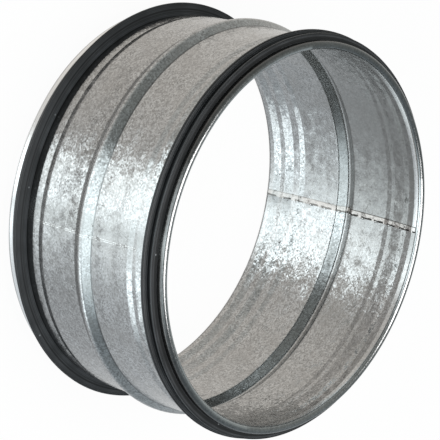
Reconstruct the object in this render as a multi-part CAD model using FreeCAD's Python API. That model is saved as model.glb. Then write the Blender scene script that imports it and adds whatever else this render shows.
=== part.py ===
"""Duct connector: a nipple coupling for two round spiral ducts of 160 mm nominal bore.

Two strips of galvanised sheet are lapped and rolled into a sleeve, with a stop bead round the middle.
Each rim is drawn in by small shoulders and folded outwards over the foot of a double-lip rubber seal.
The part stands on its lower rim, with the duct axis on +Z and the origin at the floor circle's centre.
"""
import FreeCAD, Part
import math
import os

# Sleeve, millimetres and degrees
sleeve_length = 85.0          # rim to rim
barrel_diameter = 159.0       # outside of the barrel beside the bead, a slide fit in a 160 mm duct
barrel_taper = 0.4            # fall in radius from the bead to the shoulder, for an easy start
sheet_thickness = 0.6
bend_radius = 1.2             # middle of the sheet, at the small bends

# Stop bead round the middle of the sleeve
bead_height = 2.5
bead_flank_angle = 34.0
bead_crown_radius = 2.4       # middle of the sheet

# Shoulder, cone and neck that draw each end in, measured from the rim
shoulder_from_rim = 19.6
shoulder_run = 2.5
shoulder_drop = 0.9
cone_from_rim = 15.3
cone_end_from_rim = 9.5
cone_drop = 0.9
neck_from_rim = 7.0
neck_run = 3.4
neck_drop = 0.8

# Rim folded outwards and back over the foot of the seal
rim_rise = 1.0                # outside of the fold above the shoulder's foot
fold_length = 3.3

# Lap seams along the sleeve, on the inside
lap_count = 2                 # one for each strip, evenly spaced
lap_angle = 102.7             # the first seam, from +X towards +Y
lap_width = 2.6
lap_thickness = 0.3

# Seal, places measured from the rim and heights from the outside of the shoulder's foot
seal_from_rim = 11.8          # where the inner lip's slope would meet the neck
inner_lip_from_rim = 7.9
inner_lip_height = 4.5
outer_lip_from_rim = 3.9
outer_lip_height = 3.7
lip_tip_thickness = 0.8
valley_height = 0.9
foot_clearance = 0.05

# Radii and half length that the rest is worked out from
half_length = sleeve_length / 2
half_sheet = sheet_thickness / 2
barrel_middle = barrel_diameter / 2 - half_sheet
band_middle = barrel_middle - shoulder_drop
seat_middle = band_middle - cone_drop
neck_middle = seat_middle - neck_drop
band_radius = band_middle + half_sheet
rim_radius = band_radius + rim_rise
rim_middle = rim_radius - half_sheet
no_length = 1e-6              # runs shorter than this are left out between two bends


def point(along, radius):
    """A point of a section, with the duct axis along Z."""
    return FreeCAD.Vector(radius, 0, along)


def unit(vector):
    """The same direction with length one."""
    return FreeCAD.Vector(vector).normalize()


def left_of(direction):
    """The direction a quarter turn from a run, towards larger radius on a run that goes up."""
    return FreeCAD.Vector(direction.z, 0, -direction.x)


def offset_side(corners, offset):
    """Edges of the bent line through the corners, shifted sideways by the offset."""
    places = [point(along, radius) for along, radius, bend in corners]
    runs = [unit(after - before) for before, after in zip(places, places[1:])]
    edges = []
    start = places[0] + left_of(runs[0]) * offset
    for index in range(1, len(places) - 1):
        run_in, run_out = runs[index - 1], runs[index]
        bend = corners[index][2]
        turn = math.atan2(run_in.cross(run_out).y, run_in.dot(run_out))
        tangent = bend * math.tan(abs(turn) / 2)
        side_in, side_out = left_of(run_in), left_of(run_out)
        hand = math.copysign(1, turn)
        bend_start = places[index] - run_in * tangent
        centre = bend_start + side_in * bend * hand
        arc_radius = bend - offset * hand
        arc_start = bend_start + side_in * offset
        arc_middle = centre - unit(side_in + side_out) * arc_radius * hand
        arc_end = places[index] + run_out * tangent + side_out * offset
        if arc_start.distanceToPoint(start) > no_length:
            edges.append(Part.LineSegment(start, arc_start).toShape())
        edges.append(Part.Arc(arc_start, arc_middle, arc_end).toShape())
        start = arc_end
    edges.append(Part.LineSegment(start, places[-1] + left_of(runs[-1]) * offset).toShape())
    return edges


def sheet_section(corners, outer_offset, inner_offset):
    """The face between two sideways shifts of one bent line."""
    outer = offset_side(corners, outer_offset)
    inner = offset_side(corners, inner_offset)
    ends = [
        Part.LineSegment(inner[0].firstVertex().Point, outer[0].firstVertex().Point).toShape(),
        Part.LineSegment(inner[-1].lastVertex().Point, outer[-1].lastVertex().Point).toShape(),
    ]
    return Part.Face(Part.Wire(Part.__sortEdges__(outer + inner + ends)))


def mirrored(corners):
    """The same corners below the middle plane, in the order that a run upwards meets them."""
    return [(-along, radius, bend) for along, radius, bend in reversed(corners)]


def revolved(face, angle=360.0):
    """The section turned about the duct axis."""
    return face.revolve(FreeCAD.Vector(0, 0, 0), FreeCAD.Vector(0, 0, 1), angle)


def raised(shape):
    """The shape moved up from the middle plane, to stand on the lower rim."""
    return shape.translated(FreeCAD.Vector(0, 0, half_length))


# Wall profile from the bead to the end of the neck, as corners of the middle of the sheet
flank = math.radians(bead_flank_angle)
bead_apex = bead_height + bead_crown_radius * (1 / math.cos(flank) - 1)
bead_half_width = bead_apex / math.tan(flank)
shoulder_start = half_length - shoulder_from_rim
cone_start = half_length - cone_from_rim
cone_end = half_length - cone_end_from_rim
neck_start = half_length - neck_from_rim
wall_half = [
    (bead_half_width, barrel_middle, bend_radius),
    (shoulder_start, barrel_middle - barrel_taper, bend_radius),
    (shoulder_start + shoulder_run, band_middle, bend_radius),
    (cone_start, band_middle, bend_radius),
    (cone_end, seat_middle, bend_radius),
    (neck_start, seat_middle, bend_radius),
    (neck_start + neck_run, neck_middle, bend_radius),
]
bead_crown = [(0.0, barrel_middle + bead_apex, bead_crown_radius)]
wall_corners = mirrored(wall_half) + bead_crown + wall_half

# Rim, folded outwards through half a turn and back over the foot of the seal
fold_radius = (rim_middle - neck_middle) / 2
fold_end = half_length - half_sheet
leaf_edge = half_length - fold_length
fold_half = [
    (fold_end, neck_middle, fold_radius),
    (fold_end, rim_middle, fold_radius),
    (leaf_edge, rim_middle, 0.0),
]
sheet_corners = mirrored(fold_half) + wall_corners + fold_half
sheet_face = sheet_section(sheet_corners, half_sheet, -half_sheet)
sleeve = revolved(sheet_face)

# Lap seams, where each strip's end lies over the start of the next inside the sleeve
lap_sweep = math.degrees(lap_width / barrel_middle)
lap_end = [(fold_end - fold_radius, neck_middle, 0.0)]
lap_corners = mirrored(lap_end) + wall_corners + lap_end
lap_face = sheet_section(lap_corners, 0.0, -half_sheet - lap_thickness)
for lap_index in range(lap_count):
    lap = revolved(lap_face, lap_sweep)
    lap_start = lap_angle + 360.0 * lap_index / lap_count - lap_sweep / 2
    lap.rotate(FreeCAD.Vector(0, 0, 0), FreeCAD.Vector(0, 0, 1), lap_start)
    sleeve = sleeve.fuse(lap)
sleeve = sleeve.removeSplitter()


# Seal, with two lips that lean on the duct and a foot held in the folded rim
def lip_tip(tip_from_rim, height):
    """Inner and outer corners of a lip's rounded end, with the point between them."""
    middle = half_length - tip_from_rim
    radius = band_radius + height - lip_tip_thickness / 2
    inner = point(middle - lip_tip_thickness / 2, radius)
    crest = point(middle, band_radius + height)
    outer = point(middle + lip_tip_thickness / 2, radius)
    return inner, crest, outer


def seal_section():
    """The gasket's section at the upper rim, trimmed to the sheet that it sits on."""
    base_start = half_length - seal_from_rim
    under_sheet = neck_middle
    foot_top = rim_radius - sheet_thickness - foot_clearance
    foot_end = fold_end - fold_radius
    inner_tip = lip_tip(inner_lip_from_rim, inner_lip_height)
    outer_tip = lip_tip(outer_lip_from_rim, outer_lip_height)
    valley_along = half_length - (inner_lip_from_rim + outer_lip_from_rim) / 2
    outline = [
        point(base_start, under_sheet),
        inner_tip,
        point(valley_along, band_radius + valley_height),
        outer_tip,
        point(leaf_edge - foot_clearance, rim_radius),
        point(leaf_edge - foot_clearance, foot_top),
        point(foot_end, foot_top),
        point(foot_end, under_sheet),
    ]
    edges = []
    previous = outline[-1]
    for place in outline:
        if isinstance(place, tuple):
            inner, crest, outer = place
            edges.append(Part.LineSegment(previous, inner).toShape())
            edges.append(Part.Arc(inner, crest, outer).toShape())
            previous = outer
        else:
            edges.append(Part.LineSegment(previous, place).toShape())
            previous = place
    trimmed = Part.Face(Part.Wire(edges)).cut(sheet_face)
    return max(trimmed.Faces, key=lambda face: face.Area)


top_seal = revolved(seal_section())
bottom_seal = top_seal.mirror(FreeCAD.Vector(0, 0, 0), FreeCAD.Vector(0, 0, 1))

# One file for each piece
os.makedirs("parts", exist_ok=True)
pieces = {"sleeve": sleeve, "bottom_seal": bottom_seal, "top_seal": top_seal}
for name, shape in pieces.items():
    piece = raised(shape).Solids[0]
    piece.exportStep("parts/" + name + ".step")
    box = piece.BoundBox
    print(name, piece.isValid(), len(shape.Solids), round(piece.Volume, 1), box)
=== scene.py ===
import math
import bmesh
import bpy
from mathutils import Matrix, Vector, noise


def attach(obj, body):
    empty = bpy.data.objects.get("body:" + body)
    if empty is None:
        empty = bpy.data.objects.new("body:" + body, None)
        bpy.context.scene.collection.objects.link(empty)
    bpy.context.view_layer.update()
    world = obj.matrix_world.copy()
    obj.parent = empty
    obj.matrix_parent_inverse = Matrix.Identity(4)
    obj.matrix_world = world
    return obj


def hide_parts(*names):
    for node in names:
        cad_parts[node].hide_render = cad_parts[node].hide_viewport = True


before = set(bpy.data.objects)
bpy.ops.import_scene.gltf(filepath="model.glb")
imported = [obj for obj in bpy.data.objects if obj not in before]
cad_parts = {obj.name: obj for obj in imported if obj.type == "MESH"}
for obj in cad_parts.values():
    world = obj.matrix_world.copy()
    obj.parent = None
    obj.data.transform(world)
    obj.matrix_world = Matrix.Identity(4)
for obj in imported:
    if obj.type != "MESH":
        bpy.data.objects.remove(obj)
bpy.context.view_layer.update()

# Sleeve
# Two strips of 0.6 mm hot-dip galvanised sheet, lapped end to end and rolled into a round sleeve. Rollers
# press in the stop bead and the shoulders, and fold each rim outwards to grip the foot of its seal.
mm = 0.001
sleeve_length = 85.0
barrel_diameter = 159.0
barrel_taper = 0.4
sheet_thickness = 0.6
bend_radius = 1.2
bead_height = 2.5
bead_flank_angle = 34.0
bead_crown_radius = 2.4
shoulder_from_rim, shoulder_run, shoulder_drop = 19.6, 2.5, 0.9
cone_from_rim, cone_end_from_rim, cone_drop = 15.3, 9.5, 0.9
low_cone_from_rim = 13.6      # the lower end's cone is pressed shorter
neck_from_rim, neck_run, neck_drop = 7.0, 3.4, 0.8
rim_rise, fold_length = 1.0, 3.3
seam_angle = 102.7            # the first lap seam, from +X towards +Y
outer_weld_angle = 284.5      # where the other seam shows on the outside
sleeve_columns = 324
sheet_wave = 0.08

half_length = sleeve_length / 2
half_sheet = sheet_thickness / 2
barrel_middle = barrel_diameter / 2 - half_sheet
band_middle = barrel_middle - shoulder_drop
seat_middle = band_middle - cone_drop
neck_middle = seat_middle - neck_drop
band_radius = band_middle + half_sheet
rim_radius = band_radius + rim_rise
rim_middle = rim_radius - half_sheet
fold_end = half_length - half_sheet
fold_radius = (rim_middle - neck_middle) / 2
leaf_edge = half_length - fold_length

flank = math.radians(bead_flank_angle)
bead_apex = bead_height + bead_crown_radius * (1 / math.cos(flank) - 1)
bead_foot = bead_apex / math.tan(flank)
shoulder_start = half_length - shoulder_from_rim
cone_start = half_length - cone_from_rim
cone_end = half_length - cone_end_from_rim
neck_start = half_length - neck_from_rim
rim_start = neck_start + neck_run


def wall_from_bead(cone_place):
    """Corners (along, radius, bend) of the middle of the sheet, from the bead to the end of the neck."""
    return [
        (bead_foot, barrel_middle, bend_radius),
        (shoulder_start, barrel_middle - barrel_taper, bend_radius),
        (shoulder_start + shoulder_run, band_middle, bend_radius),
        (cone_place, band_middle, bend_radius),
        (cone_end, seat_middle, bend_radius),
        (neck_start, seat_middle, bend_radius),
        (rim_start, neck_middle, bend_radius),
    ]


upper_wall = wall_from_bead(cone_start)
lower_wall = wall_from_bead(half_length - low_cone_from_rim)
bead_crown = [(0.0, barrel_middle + bead_apex, bead_crown_radius)]
folded_rim = [
    (fold_end, neck_middle, fold_radius),
    (fold_end, rim_middle, fold_radius),
    (leaf_edge, rim_middle, 0.0),
]


def mirrored(corners):
    """The same corners below the middle of the sleeve, in the order that a run upwards meets them."""
    return [(-along, radius, bend) for along, radius, bend in reversed(corners)]


def bent_line(corners, offset):
    """Points (along, radius) of a bent line shifted sideways, with a guard point beside each bend.

    The guard points keep the flat runs flat under smooth shading.
    """
    arc_step, guard, no_length = math.radians(10.0), 0.3, 1e-4
    places = [Vector(corner[:2]) for corner in corners]
    runs = [(after - before).normalized() for before, after in zip(places, places[1:])]
    sides = [Vector((-run.y, run.x)) for run in runs]
    points = [places[0] + sides[0] * offset]

    def reach(target):
        gap = target - points[-1]
        if gap.length > 3 * guard:
            step = gap.normalized() * guard
            points.extend((points[-1] + step, target - step))
        if gap.length > no_length:
            points.append(target)

    for place, corner, run_in, run_out, side in zip(places[1:], corners[1:], runs, runs[1:], sides):
        bend = corner[2]
        turn = math.atan2(run_in.x * run_out.y - run_in.y * run_out.x, run_in.dot(run_out))
        hand = math.copysign(1.0, turn)
        centre = place - run_in * bend * math.tan(abs(turn) / 2) + side * bend * hand
        spoke = side * -hand * (bend - offset * hand)
        steps = max(2, math.ceil(abs(turn) / arc_step))
        for index in range(steps + 1):
            reach(centre + Matrix.Rotation(turn * index / steps, 2) @ spoke)
    reach(places[-1] + sides[-1] * offset)
    return [tuple(point) for point in points]


def linear(hex_code):
    """A linear colour from an sRGB hex code."""
    shares = [int(hex_code[start:start + 2], 16) / 255 for start in (1, 3, 5)]
    return [s / 12.92 if s <= 0.04045 else ((s + 0.055) / 1.055) ** 2.4 for s in shares] + [1.0]


def add_node(tree, kind, inputs=None, **settings):
    """Adds a node with its settings, and feeds each named input from a value or another node's output."""
    node = tree.nodes.new(kind)
    for name, value in settings.items():
        setattr(node, name, value)
    for name, value in (inputs or {}).items():
        if isinstance(value, bpy.types.NodeSocket):
            tree.links.new(value, node.inputs[name])
        else:
            node.inputs[name].default_value = value
    return node


def galvanised_sheet(name, grain_tilt, dark_grain="#7E7F7E", pale_grain="#D9DBDC"):
    """Hot-dip zinc on steel: millimetre grains, each tilted a little its own way, so a reflection's edge
    breaks up into bright and dark flecks, under faint cloudy patches from the cooling of the bath.

    Three marks on the mesh change it: one lays the grains flatter and, near its top, whitens them
    into a painted highlight; one darkens, mostly as painted shade, shadow and reflection and in one
    place as soot; and one makes the zinc less glossy and greyer, the grey partly a painted shade.
    """
    grain_size, border_size, border_shift = 0.6, 0.4, 0.25
    ripple_size, ripple_share = 3.5, 2.6          # ripples against a grain's own tilt
    middle_lean = (1 + ripple_share) / 2
    cloud_size = 12.0
    roller_line, line_squeeze, line_nod = 4.5, 0.03, 0.10
    # Past these calm marks the grains whiten into a painted highlight.
    highlight_from, highlight_full = 0.85, 0.95
    # The near white is a painted highlight, the near black mostly painted shade and reflection with some
    # soot, and the dull grey partly a painted shade.
    cloud_grey, highlight_white, shade_and_soot_dark, dull_shade_grey = "#AAA9A7", "#F3F4F4", "#353331", "#949492"
    least_rough, most_rough, dull_rough = 0.16, 0.26, 0.34
    material = bpy.data.materials.new(name)
    material.use_nodes = True
    tree = material.node_tree
    shader = tree.nodes["Principled BSDF"]
    place = add_node(tree, "ShaderNodeTexCoord").outputs["Object"]

    ragged = add_node(tree, "ShaderNodeTexNoise", {"Vector": place, "Scale": 1 / (border_size * mm)})
    shifted = add_node(tree, "ShaderNodeVectorMath", {
        0: ragged.outputs["Color"], 1: (border_shift * mm,) * 3, 2: place}, operation="MULTIPLY_ADD")
    grains = add_node(tree, "ShaderNodeTexVoronoi", {
        "Vector": shifted.outputs["Vector"], "Scale": 1 / (grain_size * mm)})
    ripple = add_node(tree, "ShaderNodeTexNoise", {
        "Vector": place, "Scale": 1 / (ripple_size * mm), "Detail": 3.0})
    uneven = add_node(tree, "ShaderNodeVectorMath", {
        0: ripple.outputs["Color"], 1: (ripple_share,) * 3, 2: grains.outputs["Color"]},
        operation="MULTIPLY_ADD")
    lean = add_node(tree, "ShaderNodeVectorMath", {
        0: uneven.outputs["Vector"], 1: (middle_lean,) * 3}, operation="SUBTRACT")
    calm = add_node(tree, "ShaderNodeAttribute", attribute_name="calm_grain_and_highlight")
    tilt = add_node(tree, "ShaderNodeMapRange", {
        "Value": calm.outputs["Fac"], "To Min": grain_tilt, "To Max": 0.0})
    lean = add_node(tree, "ShaderNodeVectorMath", {
        0: lean.outputs["Vector"], "Scale": tilt.outputs["Result"]}, operation="SCALE")
    drawn_out = add_node(tree, "ShaderNodeMapping", {
        "Vector": place, "Scale": (line_squeeze, line_squeeze, 1.0)})
    lines = add_node(tree, "ShaderNodeTexNoise", {
        "Vector": drawn_out.outputs["Vector"], "Scale": 1 / (roller_line * mm), "Detail": 4.0})
    nod = add_node(tree, "ShaderNodeMapRange", {
        "Value": lines.outputs["Fac"], "To Min": -line_nod, "To Max": line_nod})
    nod = add_node(tree, "ShaderNodeCombineXYZ", {"Z": nod.outputs["Result"]})
    lean = add_node(tree, "ShaderNodeVectorMath", {
        0: lean.outputs["Vector"], 1: nod.outputs["Vector"]}, operation="ADD")
    upright = add_node(tree, "ShaderNodeNewGeometry").outputs["Normal"]
    leaning = add_node(tree, "ShaderNodeVectorMath", {
        0: upright, 1: lean.outputs["Vector"]}, operation="ADD")
    facing = add_node(tree, "ShaderNodeVectorMath", {0: leaning.outputs["Vector"]}, operation="NORMALIZE")
    tree.links.new(facing.outputs["Vector"], shader.inputs["Normal"])

    grain_shade = add_node(tree, "ShaderNodeSeparateColor", {"Color": grains.outputs["Color"]})
    colour = add_node(tree, "ShaderNodeMix", {
        "Factor": grain_shade.outputs["Red"], "A": linear(dark_grain), "B": linear(pale_grain)},
        data_type="RGBA")
    cloud = add_node(tree, "ShaderNodeTexNoise", {
        "Vector": place, "Scale": 1 / (cloud_size * mm), "Detail": 4.0})
    # Painted highlight where the calm mark is highest.
    painted_highlight = add_node(tree, "ShaderNodeMapRange", {
        "Value": calm.outputs["Fac"], "From Min": highlight_from, "From Max": highlight_full})
    # Dark mark: mostly painted shade, shadow and reflection, with soot in one place.
    dark = add_node(tree, "ShaderNodeAttribute", attribute_name="dark_mark")
    # Greyer and less glossy zinc, the grey partly a painted shade.
    dull = add_node(tree, "ShaderNodeAttribute", attribute_name="dull_zinc_and_shade")
    for share, shade in (
        (cloud.outputs["Fac"], cloud_grey), (painted_highlight.outputs["Result"], highlight_white),
        (dark.outputs["Fac"], shade_and_soot_dark), (dull.outputs["Fac"], dull_shade_grey),
    ):
        colour = add_node(tree, "ShaderNodeMix", {
            "Factor": share, "A": colour.outputs["Result"], "B": linear(shade)}, data_type="RGBA")
    tree.links.new(colour.outputs["Result"], shader.inputs["Base Color"])
    gloss = add_node(tree, "ShaderNodeMapRange", {
        "Value": grain_shade.outputs["Green"], "To Min": least_rough, "To Max": most_rough})
    rough = add_node(tree, "ShaderNodeMapRange", {
        "Value": dull.outputs["Fac"], "To Min": gloss.outputs["Result"], "To Max": dull_rough})
    tree.links.new(rough.outputs["Result"], shader.inputs["Roughness"])
    shader.inputs["Metallic"].default_value = 1.0
    return material


def turned_section_tree():
    """A tree that carries a section round the duct axis, a full turn or only part of one."""
    low_noise, high_noise = 0.25, 0.75
    tree = bpy.data.node_groups.new("turned section", "GeometryNodeTree")
    sockets = {}
    for name, kind in (
        ("Section", "Geometry"), ("Path Radius", "Float"), ("Columns", "Int"), ("Full Turn", "Bool"),
        ("Start Angle", "Float"), ("Sweep Angle", "Float"), ("Wave Height", "Float"),
        ("Wave Length", "Float"), ("Material", "Material"),
    ):
        made = tree.interface.new_socket(name, in_out="INPUT", socket_type="NodeSocket" + kind)
        sockets[name] = made.identifier
    tree.interface.new_socket("Ring", in_out="OUTPUT", socket_type="NodeSocketGeometry")
    given = add_node(tree, "NodeGroupInput").outputs
    circle = add_node(tree, "GeometryNodeCurvePrimitiveCircle", {
        "Resolution": given["Columns"], "Radius": given["Path Radius"]})
    arc = add_node(tree, "GeometryNodeCurveArc", {
        "Resolution": given["Columns"], "Radius": given["Path Radius"],
        "Start Angle": given["Start Angle"], "Sweep Angle": given["Sweep Angle"]})
    path = add_node(tree, "GeometryNodeSwitch", {
        "Switch": given["Full Turn"], "False": arc.outputs["Curve"], "True": circle.outputs["Curve"]},
        input_type="GEOMETRY")
    inwards = add_node(tree, "ShaderNodeMath", {0: given["Path Radius"], 1: -1.0}, operation="MULTIPLY")
    shift = add_node(tree, "ShaderNodeCombineXYZ", {"X": inwards.outputs["Value"]})
    section = add_node(tree, "GeometryNodeTransform", {
        "Geometry": given["Section"], "Translation": shift.outputs["Vector"]})
    open_ends = add_node(tree, "FunctionNodeBooleanMath", {0: given["Full Turn"]}, operation="NOT")
    ring = add_node(tree, "GeometryNodeCurveToMesh", {
        "Curve": path.outputs["Output"], "Profile Curve": section.outputs["Geometry"],
        "Fill Caps": open_ends.outputs["Boolean"]})

    spot = add_node(tree, "GeometryNodeInputPosition").outputs["Position"]
    flat = add_node(tree, "ShaderNodeVectorMath", {0: spot, 1: (1.0, 1.0, 0.0)}, operation="MULTIPLY")
    outwards = add_node(tree, "ShaderNodeVectorMath", {0: flat.outputs["Vector"]}, operation="NORMALIZE")
    fineness = add_node(tree, "ShaderNodeMath", {0: 1.0, 1: given["Wave Length"]}, operation="DIVIDE")
    waves = add_node(tree, "ShaderNodeTexNoise", {
        "Vector": spot, "Scale": fineness.outputs["Value"], "Detail": 1.0})
    level = add_node(tree, "ShaderNodeMapRange", {
        "Value": waves.outputs["Fac"], "From Min": low_noise, "From Max": high_noise,
        "To Min": -1.0, "To Max": 0.0})
    height = add_node(tree, "ShaderNodeMath", {
        0: level.outputs["Result"], 1: given["Wave Height"]}, operation="MULTIPLY")
    move = add_node(tree, "ShaderNodeVectorMath", {
        0: outwards.outputs["Vector"], "Scale": height.outputs["Value"]}, operation="SCALE")
    waved = add_node(tree, "GeometryNodeSetPosition", {
        "Geometry": ring.outputs["Mesh"], "Offset": move.outputs["Vector"]})
    smooth = add_node(tree, "GeometryNodeSetShadeSmooth", {"Geometry": waved.outputs["Geometry"]})
    real = add_node(tree, "GeometryNodeRealizeInstances", {"Geometry": smooth.outputs["Geometry"]})
    coated = add_node(tree, "GeometryNodeSetMaterial", {
        "Geometry": real.outputs["Geometry"], "Material": given["Material"]})
    add_node(tree, "NodeGroupOutput", {"Ring": coated.outputs["Geometry"]})
    return tree, sockets


turning, turning_sockets = turned_section_tree()


def plain_piece(name, holder):
    """Turns what a holder's node tree makes into a plain mesh piece, closed and facing outwards."""
    merge_reach, sharp_angle = 1e-7, math.radians(45.0)
    depsgraph = bpy.context.evaluated_depsgraph_get()
    mesh = bpy.data.meshes.new_from_object(
        holder.evaluated_get(depsgraph), preserve_all_data_layers=True, depsgraph=depsgraph)
    bpy.data.objects.remove(holder)
    shell = bmesh.new()
    shell.from_mesh(mesh)
    bmesh.ops.remove_doubles(shell, verts=shell.verts, dist=merge_reach)
    bmesh.ops.recalc_face_normals(shell, faces=shell.faces)
    shell.to_mesh(mesh)
    shell.free()
    mesh.set_sharp_from_angle(angle=sharp_angle)
    mesh.name = name
    piece = bpy.data.objects.new(name, mesh)
    bpy.context.scene.collection.objects.link(piece)
    return piece


def turned(name, outline, finish, columns, turn=None, wave_height=0.0, wave_length=60.0):
    """A piece with a closed outline of (along, radius) points in millimetres, carried round the duct axis.

    turn is (start, sweep) in degrees, or None for a full turn. Waves only go inwards from the outline.
    """
    curve = bpy.data.curves.new(name + "_section", "CURVE")
    curve.dimensions = "3D"
    line = curve.splines.new("POLY")
    line.points.add(len(outline) - 1)
    for point, (along, radius) in zip(line.points, outline):
        point.co = (radius * mm, -(half_length + along) * mm, 0.0, 1.0)
    line.use_cyclic_u = True
    holder = bpy.data.objects.new(name + "_section", curve)
    bpy.context.scene.collection.objects.link(holder)
    modifier = holder.modifiers.new("turned", "NODES")
    modifier.node_group = turning
    start, sweep = turn or (0.0, 360.0)
    for socket, value in (
        ("Path Radius", barrel_middle * mm), ("Columns", columns), ("Full Turn", turn is None),
        ("Start Angle", math.radians(start)), ("Sweep Angle", math.radians(sweep)),
        ("Wave Height", wave_height * mm), ("Wave Length", wave_length * mm), ("Material", finish),
    ):
        modifier[turning_sockets[socket]] = value
    return plain_piece(name, holder)


def on_sleeve(vertex):
    """A point's angle from +X, its place along the sleeve from the middle, and how far it faces out."""
    angle = math.degrees(math.atan2(vertex.co.y, vertex.co.x)) % 360
    along = vertex.co.z / mm - half_length
    facing = vertex.normal.dot(Vector((vertex.co.x, vertex.co.y, 0.0)).normalized())
    return angle, along, facing


def mark_calm_grain_and_highlight(piece):
    """Marks where the grains lie flatter: on one strip, and where rollers drew the zinc smooth on the bead,
    the shoulders and the rims. The highest marks also whiten the zinc into a painted highlight on the
    outside of the lower rim, the nose of the upper rim on one side, and a line inside the upper rim that
    fades out at both ends, and faintly over the rest of the upper rim."""
    strip_calm, bead_calm, shoulder_calm = 0.35, 0.7, 0.6
    upper_rim_calm, lower_rim_calm = 0.87, 0.8
    # Marks above 0.85 whiten the grains into a painted highlight; the upper rim's own mark just passes it.
    upper_rim_highlight, lower_rim_highlight = 0.93, 0.95
    shoulder_lead = 1.0
    nose_inner, nose_outer = -0.9, -0.1           # how far the nose of the fold faces outwards
    highlighted_nose_from = 200.0
    line_from, line_rise, line_to, line_fall = 95.0, 15.0, 185.0, 20.0
    line_start = rim_start + 0.9
    marks = piece.data.attributes.new("calm_grain_and_highlight", "FLOAT", "POINT")
    for vertex, mark in zip(piece.data.vertices, marks.data):
        angle, along, facing = on_sleeve(vertex)
        lower = along < 0
        from_middle = abs(along)
        on_shoulder = from_middle > shoulder_start - shoulder_lead and (lower or from_middle < cone_start)
        mark.value = strip_calm if angle > outer_weld_angle else 0.0
        if from_middle < bead_foot:
            mark.value = bead_calm
        if facing > 0 and on_shoulder:
            mark.value = shoulder_calm
        # Painted highlight on the outside of the lower rim, and below it on the upper rim's nose and inner
        # line.
        if from_middle > rim_start and lower:
            mark.value = lower_rim_highlight if facing > 0 else lower_rim_calm
        elif from_middle > rim_start:
            mark.value = upper_rim_calm
            if nose_inner < facing < nose_outer and angle > highlighted_nose_from:
                mark.value = upper_rim_highlight
            if facing < nose_inner and along > line_start:
                fade = min((angle - line_from) / line_rise, (line_to - angle) / line_fall, 1.0)
                mark.value += (upper_rim_highlight - upper_rim_calm) * max(fade, 0.0)


def mark_dull_zinc_and_shade(piece):
    """Marks where the zinc is duller and greyer: inside above the first seam, most of all in the upper
    half, and in patches below that seam, where the grey is a painted shade; and outside on a band beside
    the weld line."""
    upper_dull_shade, lower_dull_shade = 0.75, 0.35
    top_angle, top_fade = 185.0, 60.0
    patch_dull_shade, patch_size, patch_lift = 0.7, 14.0, 0.6
    patch_angle = 45.0                            # where the patches have faded out
    weld_band_dull, weld_band_angle, weld_band_reach = 0.6, outer_weld_angle - 3.0, 6.0
    marks = piece.data.attributes.new("dull_zinc_and_shade", "FLOAT", "POINT")
    for vertex, mark in zip(piece.data.vertices, marks.data):
        angle, along, facing = on_sleeve(vertex)
        if facing >= 0:
            mark.value = weld_band_dull * max(0.0, 1 - abs(angle - weld_band_angle) / weld_band_reach)
        # Painted shade inside above the seam, strongest in the upper half, on duller zinc.
        elif seam_angle < angle < top_angle and -shoulder_start < along < rim_start:
            mark.value = min(lower_dull_shade if along < 0 else upper_dull_shade, (top_angle - angle) / top_fade)
        # Painted shade in patches below the seam, on duller zinc.
        elif patch_angle < angle < seam_angle and along >= 0:
            patch = max(0.0, noise.noise(vertex.co / (patch_size * mm)) + patch_lift)
            mark.value = patch_dull_shade * patch * (angle - patch_angle) / (seam_angle - patch_angle)


def mark_painted_shade_and_soot(piece):
    """Marks dark colour: a painted reflection of the seal on the outward flank of the upper fold, a darker
    part of its nose, painted shade and reflection of the lower seal on the sheet beside it, painted shade
    in the crease above the bead, and soot at one end of a seam."""
    flank_painted_reflection, nose_darkening, nose_inner = 0.85, 0.4, -0.9
    nose_dark_from, nose_dark_to = 120.0, 200.0
    crease_painted_shade, crease_reach = 0.6, 0.25
    seal_painted_shade, seal_shade_start, seal_shade_end = 0.8, 9.0, 15.5
    soot, soot_reach, soot_length = 0.5, 7.0, 14.0
    marks = piece.data.attributes.new("dark_mark", "FLOAT", "POINT")
    for vertex, mark in zip(piece.data.vertices, marks.data):
        angle, along, facing = on_sleeve(vertex)
        height = along + half_length
        below_seam = seam_angle - angle
        if along > rim_start:
            # Painted reflection of the dark seal, strongest where the fold faces straight out.
            mark.value = flank_painted_reflection * max(0.0, facing)
            if nose_dark_from < angle < nose_dark_to and facing > nose_inner:
                mark.value = max(mark.value, nose_darkening)
        elif facing > 0 and abs(along - bead_foot) < crease_reach:
            # Painted shade in the crease at the bead's foot.
            mark.value = crease_painted_shade
        elif facing > 0 and seal_shade_start < height < seal_shade_end:
            # Painted shade and reflection of the lower seal, fading away from it.
            mark.value = seal_painted_shade * (seal_shade_end - height) / (seal_shade_end - seal_shade_start)
        elif facing < 0 and 0 < below_seam < soot_reach and height < soot_length:
            mark.value = soot * (1 - below_seam / soot_reach)


sheet_tilt = 0.14
sheet_steel = galvanised_sheet("galvanised_sheet", sheet_tilt)
sheet_corners = mirrored(lower_wall + folded_rim) + bead_crown + upper_wall + folded_rim
sheet_outline = bent_line(sheet_corners, half_sheet) + bent_line(sheet_corners, -half_sheet)[::-1]
sleeve = turned("sleeve_sheet", sheet_outline, sheet_steel, sleeve_columns, wave_height=sheet_wave)
mark_calm_grain_and_highlight(sleeve)
mark_dull_zinc_and_shade(sleeve)
mark_painted_shade_and_soot(sleeve)
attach(sleeve, "root")
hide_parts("sleeve")

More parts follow.
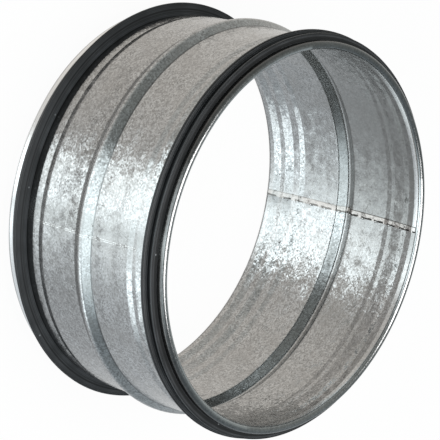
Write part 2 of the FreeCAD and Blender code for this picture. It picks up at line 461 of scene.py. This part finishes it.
# Lap seams
# Where the end of each strip lies over the start of the next, inside the sleeve. The steel is pressed flat,
# spot welded along one edge, and left with a brownish tint by the heat, with gaps between the welds whose
# dark is a painted shadow.
lap_width = 2.6
lap_thickness = 0.3
lap_bury = 0.15               # how far the strip reaches into the sheet that it lies on
lap_columns = 14
lap_step = 0.6                # along the seam, fine enough for the gaps between the welds
lap_tilt, weld_tilt = 0.15, 0.3
weld_pitch, weld_start = 7.3, 1.7
weld_length, weld_width = 2.4, 1.0
weld_seed = 3
gap_reach = 2.5               # how far the open gap reaches to each side of its middle
lap_end = [(fold_end - fold_radius, neck_middle, 0.0)]
wall_corners = mirrored(lower_wall + lap_end) + bead_crown + upper_wall + lap_end
lap_line = bent_line(wall_corners, -half_sheet - lap_thickness)
lap_face = lap_line[:1]
for point in lap_line[1:]:
    start = Vector(lap_face[-1])
    gap = Vector(point) - start
    pieces = math.ceil(gap.length / lap_step)
    lap_face.extend(tuple(start + gap * index / pieces) for index in range(1, pieces + 1))
lap_outline = bent_line(wall_corners, lap_bury - half_sheet) + lap_face[::-1]
lap_sweep = math.degrees(lap_width / barrel_middle)


def mark_seam_gap_shadow(lap, first_angle):
    """Marks painted shadow in the gaps at the strip's edges: ragged dashes between the welds on one, a fine
    line on the other, both weaker in the lower half."""
    dash_share, line_share = 0.3, 0.85            # of the strip's width, from its welded edge
    raggedness = 0.5
    upper_dash, lower_dash = 1.0, 0.7
    upper_line, lower_line = 0.8, 0.35
    marks = lap.data.attributes.new("dark_mark", "FLOAT", "POINT")
    for vertex, mark in zip(lap.data.vertices, marks.data):
        angle, along, facing = on_sleeve(vertex)
        across = (angle - first_angle) % 360
        across = min(across, 360 - across) / lap_sweep
        from_gap = abs((along - weld_start) % weld_pitch - weld_pitch / 2)
        ragged = 1.0 + raggedness * noise.noise(vertex.co / (gap_reach * mm))
        # Painted shadow in the gap under the lifted edge between the welds.
        if across < dash_share * ragged and from_gap < gap_reach * ragged:
            mark.value = upper_dash if along > 0 else lower_dash
        # Painted shadow along the strip's other edge.
        if across > line_share:
            mark.value = upper_line if along > 0 else lower_line


def weld_spots_tree():
    """A tree that sets flattened beads of weld at a fixed pitch along a line."""
    least_share, most_share = (0.7, 0.7, 0.6), (1.2, 1.2, 1.3)
    tree = bpy.data.node_groups.new("weld spots", "GeometryNodeTree")
    sockets = {}
    for name, kind in (
        ("Line", "Geometry"), ("Pitch", "Float"), ("Spot Size", "Vector"), ("Seed", "Int"),
        ("Material", "Material"),
    ):
        made = tree.interface.new_socket(name, in_out="INPUT", socket_type="NodeSocket" + kind)
        sockets[name] = made.identifier
    tree.interface.new_socket("Spots", in_out="OUTPUT", socket_type="NodeSocketGeometry")
    given = add_node(tree, "NodeGroupInput").outputs
    places = add_node(tree, "GeometryNodeResampleCurve", {
        "Curve": given["Line"], "Length": given["Pitch"]}, mode="LENGTH")
    bead = add_node(tree, "GeometryNodeMeshIcoSphere", {"Radius": 0.5, "Subdivisions": 2})
    spread = add_node(tree, "FunctionNodeRandomValue", {
        "Min": least_share, "Max": most_share, "Seed": given["Seed"]}, data_type="FLOAT_VECTOR")
    size = add_node(tree, "ShaderNodeVectorMath", {
        0: given["Spot Size"], 1: spread.outputs["Value"]}, operation="MULTIPLY")
    spots = add_node(tree, "GeometryNodeInstanceOnPoints", {
        "Points": places.outputs["Curve"], "Instance": bead.outputs["Mesh"],
        "Scale": size.outputs["Vector"]})
    smooth = add_node(tree, "GeometryNodeSetShadeSmooth", {"Geometry": spots.outputs["Instances"]})
    real = add_node(tree, "GeometryNodeRealizeInstances", {"Geometry": smooth.outputs["Geometry"]})
    coated = add_node(tree, "GeometryNodeSetMaterial", {
        "Geometry": real.outputs["Geometry"], "Material": given["Material"]})
    add_node(tree, "NodeGroupOutput", {"Spots": coated.outputs["Geometry"]})
    return tree, sockets


welding, welding_sockets = weld_spots_tree()
weld_steel = galvanised_sheet("bright_weld", weld_tilt, "#C8C8C6", "#F2F2F0")
lap_steel = galvanised_sheet("heat_tinted_lap", lap_tilt, "#8C847E", "#C4BBB4")
weld_path = [point for point in bent_line(wall_corners, -half_sheet) if abs(point[0]) < cone_end]
for lap_name, lap_angle in (("lap_seam", seam_angle), ("far_lap_seam", seam_angle + 180)):
    first_angle = lap_angle - lap_sweep / 2
    lap = turned(lap_name, lap_outline, lap_steel, lap_columns, (first_angle, lap_sweep))
    mark_calm_grain_and_highlight(lap)
    mark_seam_gap_shadow(lap, first_angle)
    outwards = Vector((math.cos(math.radians(first_angle)), math.sin(math.radians(first_angle)), 0.0))
    curve = bpy.data.curves.new(lap_name + "_line", "CURVE")
    curve.dimensions = "3D"
    line = curve.splines.new("POLY")
    line.points.add(len(weld_path) - 1)
    for point, (along, radius) in zip(line.points, weld_path):
        spot = outwards * radius + Vector((0.0, 0.0, half_length + along))
        point.co = (*(spot * mm), 1.0)
    holder = bpy.data.objects.new(lap_name + "_line", curve)
    bpy.context.scene.collection.objects.link(holder)
    modifier = holder.modifiers.new("welds", "NODES")
    modifier.node_group = welding
    for socket, value in (
        ("Pitch", weld_pitch * mm), ("Seed", weld_seed), ("Material", weld_steel),
        ("Spot Size", Vector((weld_width, weld_width, weld_length)) * mm),
    ):
        modifier[welding_sockets[socket]] = value
    welds = plain_piece(lap_name + "_welds", holder)
    for piece in (lap, welds):
        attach(piece, "root")

# Weld lines
# Outside, each lap is closed by a fine double line of bright weld, run along the barrel and over the bead.
# It ends where the cone begins, short of the seal.
line_width, line_gap, line_proud = 0.3, 0.35, 0.08
line_columns = 3
barrel_side = [corner for corner in upper_wall if corner[0] <= cone_start]
line_corners = mirrored(barrel_side) + bead_crown + barrel_side
line_top = bent_line(line_corners, half_sheet + line_proud)
line_root = bent_line(line_corners, half_sheet - line_proud)
line_sweep = math.degrees(line_width / barrel_middle)
line_step = math.degrees((line_width + line_gap) / barrel_middle)
for line_name, line_angle in (("weld_line", outer_weld_angle), ("far_weld_line", outer_weld_angle - 180)):
    for side, shift in (("upper", 0.0), ("lower", line_step)):
        ridge = turned(
            line_name + "_" + side, line_top + line_root[::-1], weld_steel, line_columns,
            (line_angle + shift, line_sweep))
        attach(ridge, "root")

# Seals
# Black EPDM rubber extruded with two lips, cut to length and laid into each rim before it is folded over
# the foot. The lips lean on the bore of the duct that is pushed on.
upper_foot_from_rim = 11.03   # where the inner lip rises from the sheet
lower_foot_from_rim = 9.4
inner_lip_from_rim, inner_lip_height = 7.9, 4.5
upper_outer_lip = (3.9, 3.7)  # from the rim, and height
lower_outer_lip = (6.0, 1.9)  # bent over, leaning on the inner lip
lip_tip_thickness = 0.8
valley_height = 0.9
foot_clearance = 0.05
tip_round, root_round = 0.36, 0.3
seal_columns = 360
seal_wave_height, seal_wave_length = 0.12, 25.0


def lip_tip(from_rim, height):
    """The two rounded corners of a lip's end."""
    middle = half_length - from_rim
    radius = band_radius + height
    return [
        (middle - lip_tip_thickness / 2, radius, tip_round),
        (middle + lip_tip_thickness / 2, radius, tip_round),
    ]


def black_rubber():
    """Extruded EPDM: near black and dull, with grey lines along the extrusion that are partly a painted
    sheen, and specks of dust. The lines and the grit are finer on the real rubber, and are drawn this
    coarse so that they show."""
    patch_size, line_size, grit_size = 9.0, 0.45, 0.5
    line_from, line_full = 0.46, 0.66             # the noise that starts and fills a grey line
    speck_gap, speck_edge, speck_core, speck_share = 7.0, 0.06, 0.03, 0.8
    black, line_and_sheen_grey, dust_grey = "#0E0F10", "#5F6164", "#9A9C9E"
    least_rough, most_rough = 0.40, 0.58
    grit_height, grit_share = 0.05, 0.2
    material = bpy.data.materials.new("black_epdm_rubber")
    material.use_nodes = True
    tree = material.node_tree
    shader = tree.nodes["Principled BSDF"]
    place = add_node(tree, "ShaderNodeTexCoord").outputs["Object"]
    patch = add_node(tree, "ShaderNodeTexNoise", {
        "Vector": place, "Scale": 1 / (patch_size * mm), "Detail": 5.0})
    part = add_node(tree, "ShaderNodeSeparateXYZ", {"Vector": place}).outputs
    flat = add_node(tree, "ShaderNodeVectorMath", {0: place, 1: (1.0, 1.0, 0.0)}, operation="MULTIPLY")
    radius = add_node(tree, "ShaderNodeVectorMath", {0: flat.outputs["Vector"]}, operation="LENGTH")
    section = add_node(tree, "ShaderNodeCombineXYZ", {"X": radius.outputs["Value"], "Y": part["Z"]})
    lines = add_node(tree, "ShaderNodeTexNoise", {
        "Vector": section.outputs["Vector"], "Scale": 1 / (line_size * mm), "Detail": 2.0})
    streak = add_node(tree, "ShaderNodeMapRange", {
        "Value": lines.outputs["Fac"], "From Min": line_from, "From Max": line_full})
    streak = add_node(tree, "ShaderNodeMath", {
        0: streak.outputs["Result"], 1: patch.outputs["Fac"]}, operation="MULTIPLY")
    # The grey lines are partly a painted sheen.
    shade = add_node(tree, "ShaderNodeMix", {
        "Factor": streak.outputs["Value"], "A": linear(black), "B": linear(line_and_sheen_grey)}, data_type="RGBA")
    specks = add_node(tree, "ShaderNodeTexVoronoi", {"Vector": place, "Scale": 1 / (speck_gap * mm)})
    speck = add_node(tree, "ShaderNodeMapRange", {
        "Value": specks.outputs["Distance"], "From Min": speck_edge, "From Max": speck_core,
        "To Max": speck_share})
    dusty = add_node(tree, "ShaderNodeMix", {
        "Factor": speck.outputs["Result"], "A": shade.outputs["Result"], "B": linear(dust_grey)},
        data_type="RGBA")
    tree.links.new(dusty.outputs["Result"], shader.inputs["Base Color"])
    dull = add_node(tree, "ShaderNodeMapRange", {
        "Value": patch.outputs["Fac"], "To Min": least_rough, "To Max": most_rough})
    tree.links.new(dull.outputs["Result"], shader.inputs["Roughness"])
    grit = add_node(tree, "ShaderNodeTexNoise", {"Vector": place, "Scale": 1 / (grit_size * mm)})
    bump = add_node(tree, "ShaderNodeBump", {
        "Strength": grit_share, "Distance": grit_height * mm, "Height": grit.outputs["Fac"]})
    tree.links.new(bump.outputs["Normal"], shader.inputs["Normal"])
    return material


seal_rubber = black_rubber()
foot_end = fold_end - fold_radius
foot_top = rim_radius - sheet_thickness - foot_clearance
foot_edge = leaf_edge - foot_clearance
for seal_name, node, hand, wall, foot_from_rim, outer_lip in (
    ("upper_seal", "top_seal", 1, upper_wall, upper_foot_from_rim, upper_outer_lip),
    ("lower_seal", "bottom_seal", -1, lower_wall, lower_foot_from_rim, lower_outer_lip),
):
    seal_start = half_length - foot_from_rim
    sheet_side = [
        point for point in bent_line(wall + lap_end, half_sheet + foot_clearance / 2)
        if seal_start < point[0] < foot_end
    ]
    valley_along = half_length - (inner_lip_from_rim + outer_lip[0]) / 2
    lip_side = bent_line([
        (seal_start, sheet_side[0][1], 0.0),
        *lip_tip(inner_lip_from_rim, inner_lip_height),
        (valley_along, band_radius + valley_height, root_round),
        *lip_tip(*outer_lip),
        (foot_edge, rim_radius, 0.0),
    ], 0.0)
    lip_side += [(foot_edge, foot_top), (foot_end, foot_top)]
    outline = [(along * hand, radius) for along, radius in lip_side + sheet_side[::-1]]
    seal = turned(
        seal_name, outline, seal_rubber, seal_columns,
        wave_height=seal_wave_height, wave_length=seal_wave_length)
    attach(seal, "root")
    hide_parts(node)

# Floor
# A wide sheet of white studio paper that the sleeve stands on. It shows white and keeps a soft shadow,
# and lets the lamps' light and reflections past, as the open side of a studio does.
floor_reach = 4.0
white_share = 0.95
paper = bpy.data.materials.new("white_studio_paper")
paper.use_nodes = True
tree = paper.node_tree
tree.nodes.clear()
ray = add_node(tree, "ShaderNodeLightPath").outputs
seen = add_node(tree, "ShaderNodeMath", {
    0: ray["Is Camera Ray"], 1: ray["Is Glossy Ray"]}, operation="MAXIMUM")
seen = add_node(tree, "ShaderNodeMath", {
    0: seen.outputs["Value"], 1: ray["Is Transmission Ray"]}, operation="MAXIMUM")
share = add_node(tree, "ShaderNodeMath", {0: seen.outputs["Value"], 1: white_share}, operation="MULTIPLY")
matt = add_node(tree, "ShaderNodeBsdfDiffuse", {"Color": linear("#F2F2F0")})
white = add_node(tree, "ShaderNodeEmission", {"Color": linear("#FFFFFF"), "Strength": 1.0})
mixed = add_node(tree, "ShaderNodeMixShader", {
    0: share.outputs["Value"], 1: matt.outputs["BSDF"], 2: white.outputs["Emission"]})
add_node(tree, "ShaderNodeOutputMaterial", {"Surface": mixed.outputs["Shader"]})
floor_mesh = bpy.data.meshes.new("floor")
floor_corners = [(x * floor_reach, y * floor_reach, 0) for x, y in ((-1, -1), (1, -1), (1, 1), (-1, 1))]
floor_mesh.from_pydata(floor_corners, [], [(0, 1, 2, 3)])
floor_mesh.materials.append(paper)
floor = bpy.data.objects.new("floor", floor_mesh)
bpy.context.scene.collection.objects.link(floor)
floor.visible_glossy = False
floor.visible_shadow = False

# Light
# Pale walls low around the sleeve, a darker room above, a tall softbox to the camera's left and two small
# white cards beside it, all in the world. One softbox overhead gives the rims their gleam.
wall_levels = (               # from straight down, at 0, to straight up, at 1
    (0.0, "#FFFFFF"), (0.02, "#F0EEEC"), (0.05, "#A9A7A5"), (0.12, "#CFCDCB"),
    (0.18, "#F4F2EF"), (0.215, "#E6E4E2"), (0.30, "#DCDDDC"), (0.45, "#C4C8C8"),
    (0.60, "#9AA0A1"), (0.75, "#838989"), (1.0, "#7A8081"),
)
warm_side, cool_side, tint_reach = "#FFFCF8", "#E6EDF4", 0.7
softbox_glow, card_glow, high_card_glow = (1.67, 1.87, 1.94), (1.45, 1.6, 1.66), (0.9, 1.02, 1.06)
world = bpy.data.worlds.new("studio")
bpy.context.scene.world = world
world.use_nodes = True
tree = world.node_tree
tree.nodes.clear()
way = add_node(tree, "ShaderNodeTexCoord").outputs["Generated"]
part = add_node(tree, "ShaderNodeSeparateXYZ", {"Vector": way}).outputs
height = add_node(tree, "ShaderNodeMapRange", {"Value": part["Z"], "From Min": -1.0, "From Max": 1.0})
walls = add_node(tree, "ShaderNodeValToRGB", {"Fac": height.outputs["Result"]})
stops = walls.color_ramp.elements
for level, shade in wall_levels[1:-1]:
    stops.new(level)
for stop, (level, shade) in zip(stops, wall_levels):
    stop.position = level
    stop.color = linear(shade)
warmth = add_node(tree, "ShaderNodeMapRange", {
    "Value": part["X"], "From Min": -tint_reach, "From Max": tint_reach})
tint = add_node(tree, "ShaderNodeMix", {
    "Factor": warmth.outputs["Result"], "A": linear(warm_side), "B": linear(cool_side)}, data_type="RGBA")
surround = add_node(tree, "ShaderNodeVectorMath", {
    0: walls.outputs["Color"], 1: tint.outputs["Result"]}, operation="MULTIPLY")

# The softbox and the cards, each with its edges as (direction, where it is dark, where it is full)
level_way = add_node(tree, "ShaderNodeVectorMath", {0: way, 1: (1.0, 1.0, 0.0)}, operation="MULTIPLY")
level_way = add_node(tree, "ShaderNodeVectorMath", {0: level_way.outputs["Vector"]}, operation="NORMALIZE")
sideways = add_node(tree, "ShaderNodeSeparateXYZ", {"Vector": level_way.outputs["Vector"]}).outputs["X"]
softbox_edges = (
    (sideways, -0.39, -0.10), (sideways, 1.02, 0.15), (part["Y"], 0.05, -0.15),
    (part["Z"], -0.88, -0.59), (part["Z"], 0.7, 0.45),
)
card_edges = (
    (sideways, 0.55, 0.7), (sideways, 0.99, 0.92), (part["Y"], 0.05, -0.1),
    (part["Z"], -0.5, -0.38), (part["Z"], -0.02, -0.12),
)
high_card_edges = (
    (sideways, 0.0, 0.3), (sideways, 1.0, 0.8), (part["Y"], 0.05, -0.1),
    (part["Z"], 0.08, 0.25), (part["Z"], 0.7, 0.5),
)
for edges, colour in (
    (softbox_edges, softbox_glow), (card_edges, card_glow), (high_card_edges, high_card_glow),
):
    share = 1.0
    for measure, dark_at, full_at in edges:
        edge = add_node(tree, "ShaderNodeMapRange", {
            "Value": measure, "From Min": dark_at, "From Max": full_at}, interpolation_type="SMOOTHSTEP")
        share = add_node(tree, "ShaderNodeMath", {
            0: share, 1: edge.outputs["Result"]}, operation="MULTIPLY").outputs["Value"]
    glow = add_node(tree, "ShaderNodeVectorMath", {0: colour, "Scale": share}, operation="SCALE")
    surround = add_node(tree, "ShaderNodeVectorMath", {
        0: surround.outputs["Vector"], 1: glow.outputs["Vector"]}, operation="ADD")
ray = add_node(tree, "ShaderNodeLightPath").outputs
shown = add_node(tree, "ShaderNodeMix", {
    "Factor": ray["Is Camera Ray"], "A": surround.outputs["Vector"], "B": linear("#FFFFFF")},
    data_type="RGBA")
backdrop = add_node(tree, "ShaderNodeBackground", {"Color": shown.outputs["Result"], "Strength": 1.0})
add_node(tree, "ShaderNodeOutputWorld", {"Surface": backdrop.outputs["Background"]})

lamp = bpy.data.lights.new("overhead_softbox", "AREA")
lamp.size = 0.75
lamp.energy = 8.0
lamp_holder = bpy.data.objects.new("overhead_softbox", lamp)
lamp_holder.location = (0.08, -0.12, 1.0)
lamp_holder.visible_camera = False
bpy.context.scene.collection.objects.link(lamp_holder)

# Camera
# A long lens from the upper rim's side, at the photograph's angle, taken as a square picture. The focal
# length is in the picture's pixels, and the place is in millimetres.
picture_side = 440.0
focal_pixels = 2566.0
camera_place = (0.957, -798.894, 711.466)
camera_tilt = 50.02
camera_roll = 105.56
camera_data = bpy.data.cameras.new("camera")
camera_data.sensor_width = 36.0
camera_data.lens = focal_pixels * camera_data.sensor_width / picture_side
camera = bpy.data.objects.new("camera", camera_data)
camera.matrix_world = (
    Matrix.Translation(Vector(camera_place) * mm)
    @ Matrix.Rotation(math.radians(camera_tilt), 4, "X")
    @ Matrix.Rotation(math.radians(camera_roll), 4, "Z")
)
bpy.context.scene.collection.objects.link(camera)
bpy.context.scene.camera = camera
bpy.context.scene.view_settings.view_transform = "Standard"
